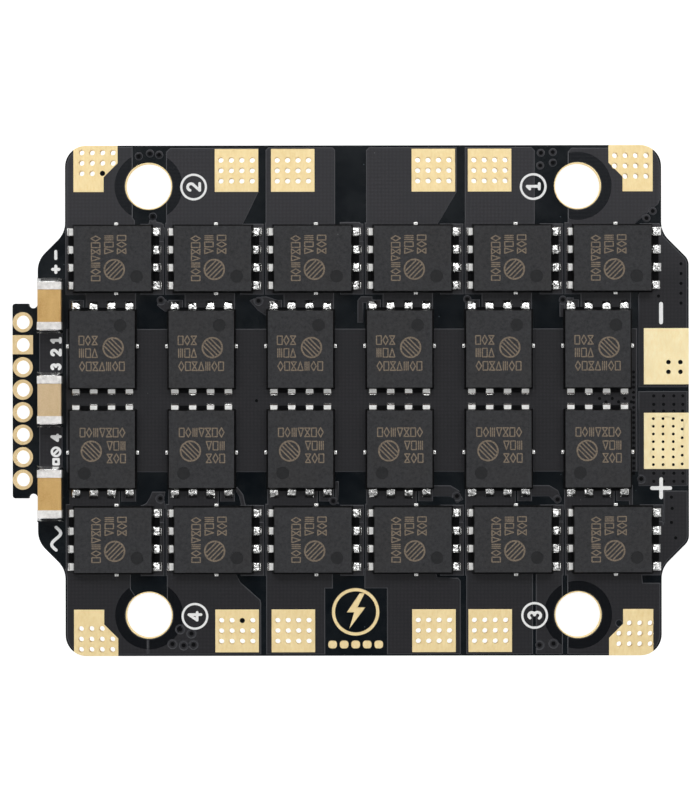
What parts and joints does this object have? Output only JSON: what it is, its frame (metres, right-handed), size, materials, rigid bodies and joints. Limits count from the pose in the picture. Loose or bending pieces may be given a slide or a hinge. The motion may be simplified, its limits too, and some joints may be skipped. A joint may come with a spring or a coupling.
{
  "type": "electronic speed controller",
  "caption": "Flat board speed controller for a quadcopter: rows of power transistors, edge solder pads, a plated-hole signal tab and corner mounting holes.",
  "frame": {"origin": "centre of the square of mounting holes, on the underside face of the laminate", "axes": "+Z out of the face that carries the power transistors, +X from the signal tab to the battery pads, +Y across the board towards motors 1 and 2"},
  "size_m": [0.0481, 0.0362, 0.0047],
  "materials": {
    "laminate": "black solder mask over copper pours and glass-fibre laminate, white printed marks",
    "gold_plate": "immersion gold on copper, smooth satin",
    "transistor_moulding": "fine-grained matt moulded epoxy with faint laser marks",
    "tinned_leads": "bright tin with shiny solder fillets",
    "capacitor_ceramic": "fired tan ceramic, slightly mottled",
    "end_caps": "dull tin, slightly rough",
    "chip_moulding": "fine matt moulded epoxy",
    "resistor_coat": "glossy black overglaze",
    "inductor_core": "pressed iron powder, fine grain"
  },
  "bodies": {
    "root": {"circuit_board": "laminate", "motor_pads": "gold_plate", "battery_pad_negative": "gold_plate", "battery_pad_positive": "gold_plate", "signal_hole_rings": "gold_plate", "mounting_hole_plating": "gold_plate", "low_side_mosfet_1a": "transistor_moulding", "low_side_mosfet_1b": "transistor_moulding", "low_side_mosfet_1c": "transistor_moulding", "low_side_mosfet_2a": "transistor_moulding", "low_side_mosfet_2b": "transistor_moulding", "low_side_mosfet_2c": "transistor_moulding", "low_side_mosfet_3a": "transistor_moulding", "low_side_mosfet_3b": "transistor_moulding", "low_side_mosfet_3c": "transistor_moulding", "low_side_mosfet_4a": "transistor_moulding", "low_side_mosfet_4b": "transistor_moulding", "low_side_mosfet_4c": "transistor_moulding", "high_side_mosfet_1a": "transistor_moulding", "high_side_mosfet_1b": "transistor_moulding", "high_side_mosfet_1c": "transistor_moulding", "high_side_mosfet_2a": "transistor_moulding", "high_side_mosfet_2b": "transistor_moulding", "high_side_mosfet_2c": "transistor_moulding", "high_side_mosfet_3a": "transistor_moulding", "high_side_mosfet_3b": "transistor_moulding", "high_side_mosfet_3c": "transistor_moulding", "high_side_mosfet_4a": "transistor_moulding", "high_side_mosfet_4b": "transistor_moulding", "high_side_mosfet_4c": "transistor_moulding", "lead_frames_1": "tinned_leads", "lead_frames_2": "tinned_leads", "lead_frames_3": "tinned_leads", "lead_frames_4": "tinned_leads", "bypass_capacitor_1": "capacitor_ceramic", "bypass_capacitor_2": "capacitor_ceramic", "bypass_capacitor_3": "capacitor_ceramic", "bypass_capacitor_ends": "end_caps", "microcontroller_1": "chip_moulding", "microcontroller_2": "chip_moulding", "microcontroller_3": "chip_moulding", "microcontroller_4": "chip_moulding", "gate_driver_1": "chip_moulding", "gate_driver_2": "chip_moulding", "gate_driver_3": "chip_moulding", "gate_driver_4": "chip_moulding", "leadless_contacts": "tinned_leads", "bulk_capacitors": "capacitor_ceramic", "bulk_capacitor_ends": "end_caps", "shunt_resistor": "resistor_coat", "shunt_terminals": "tinned_leads", "current_sense_amplifier": "chip_moulding", "logic_regulator": "chip_moulding", "gate_supply_regulator": "chip_moulding", "gate_supply_inductor": "inductor_core", "regulator_leads": "tinned_leads", "chip_resistors": "resistor_coat", "chip_capacitors": "capacitor_ceramic", "chip_terminals": "end_caps"}
  },
  "joints": []
}
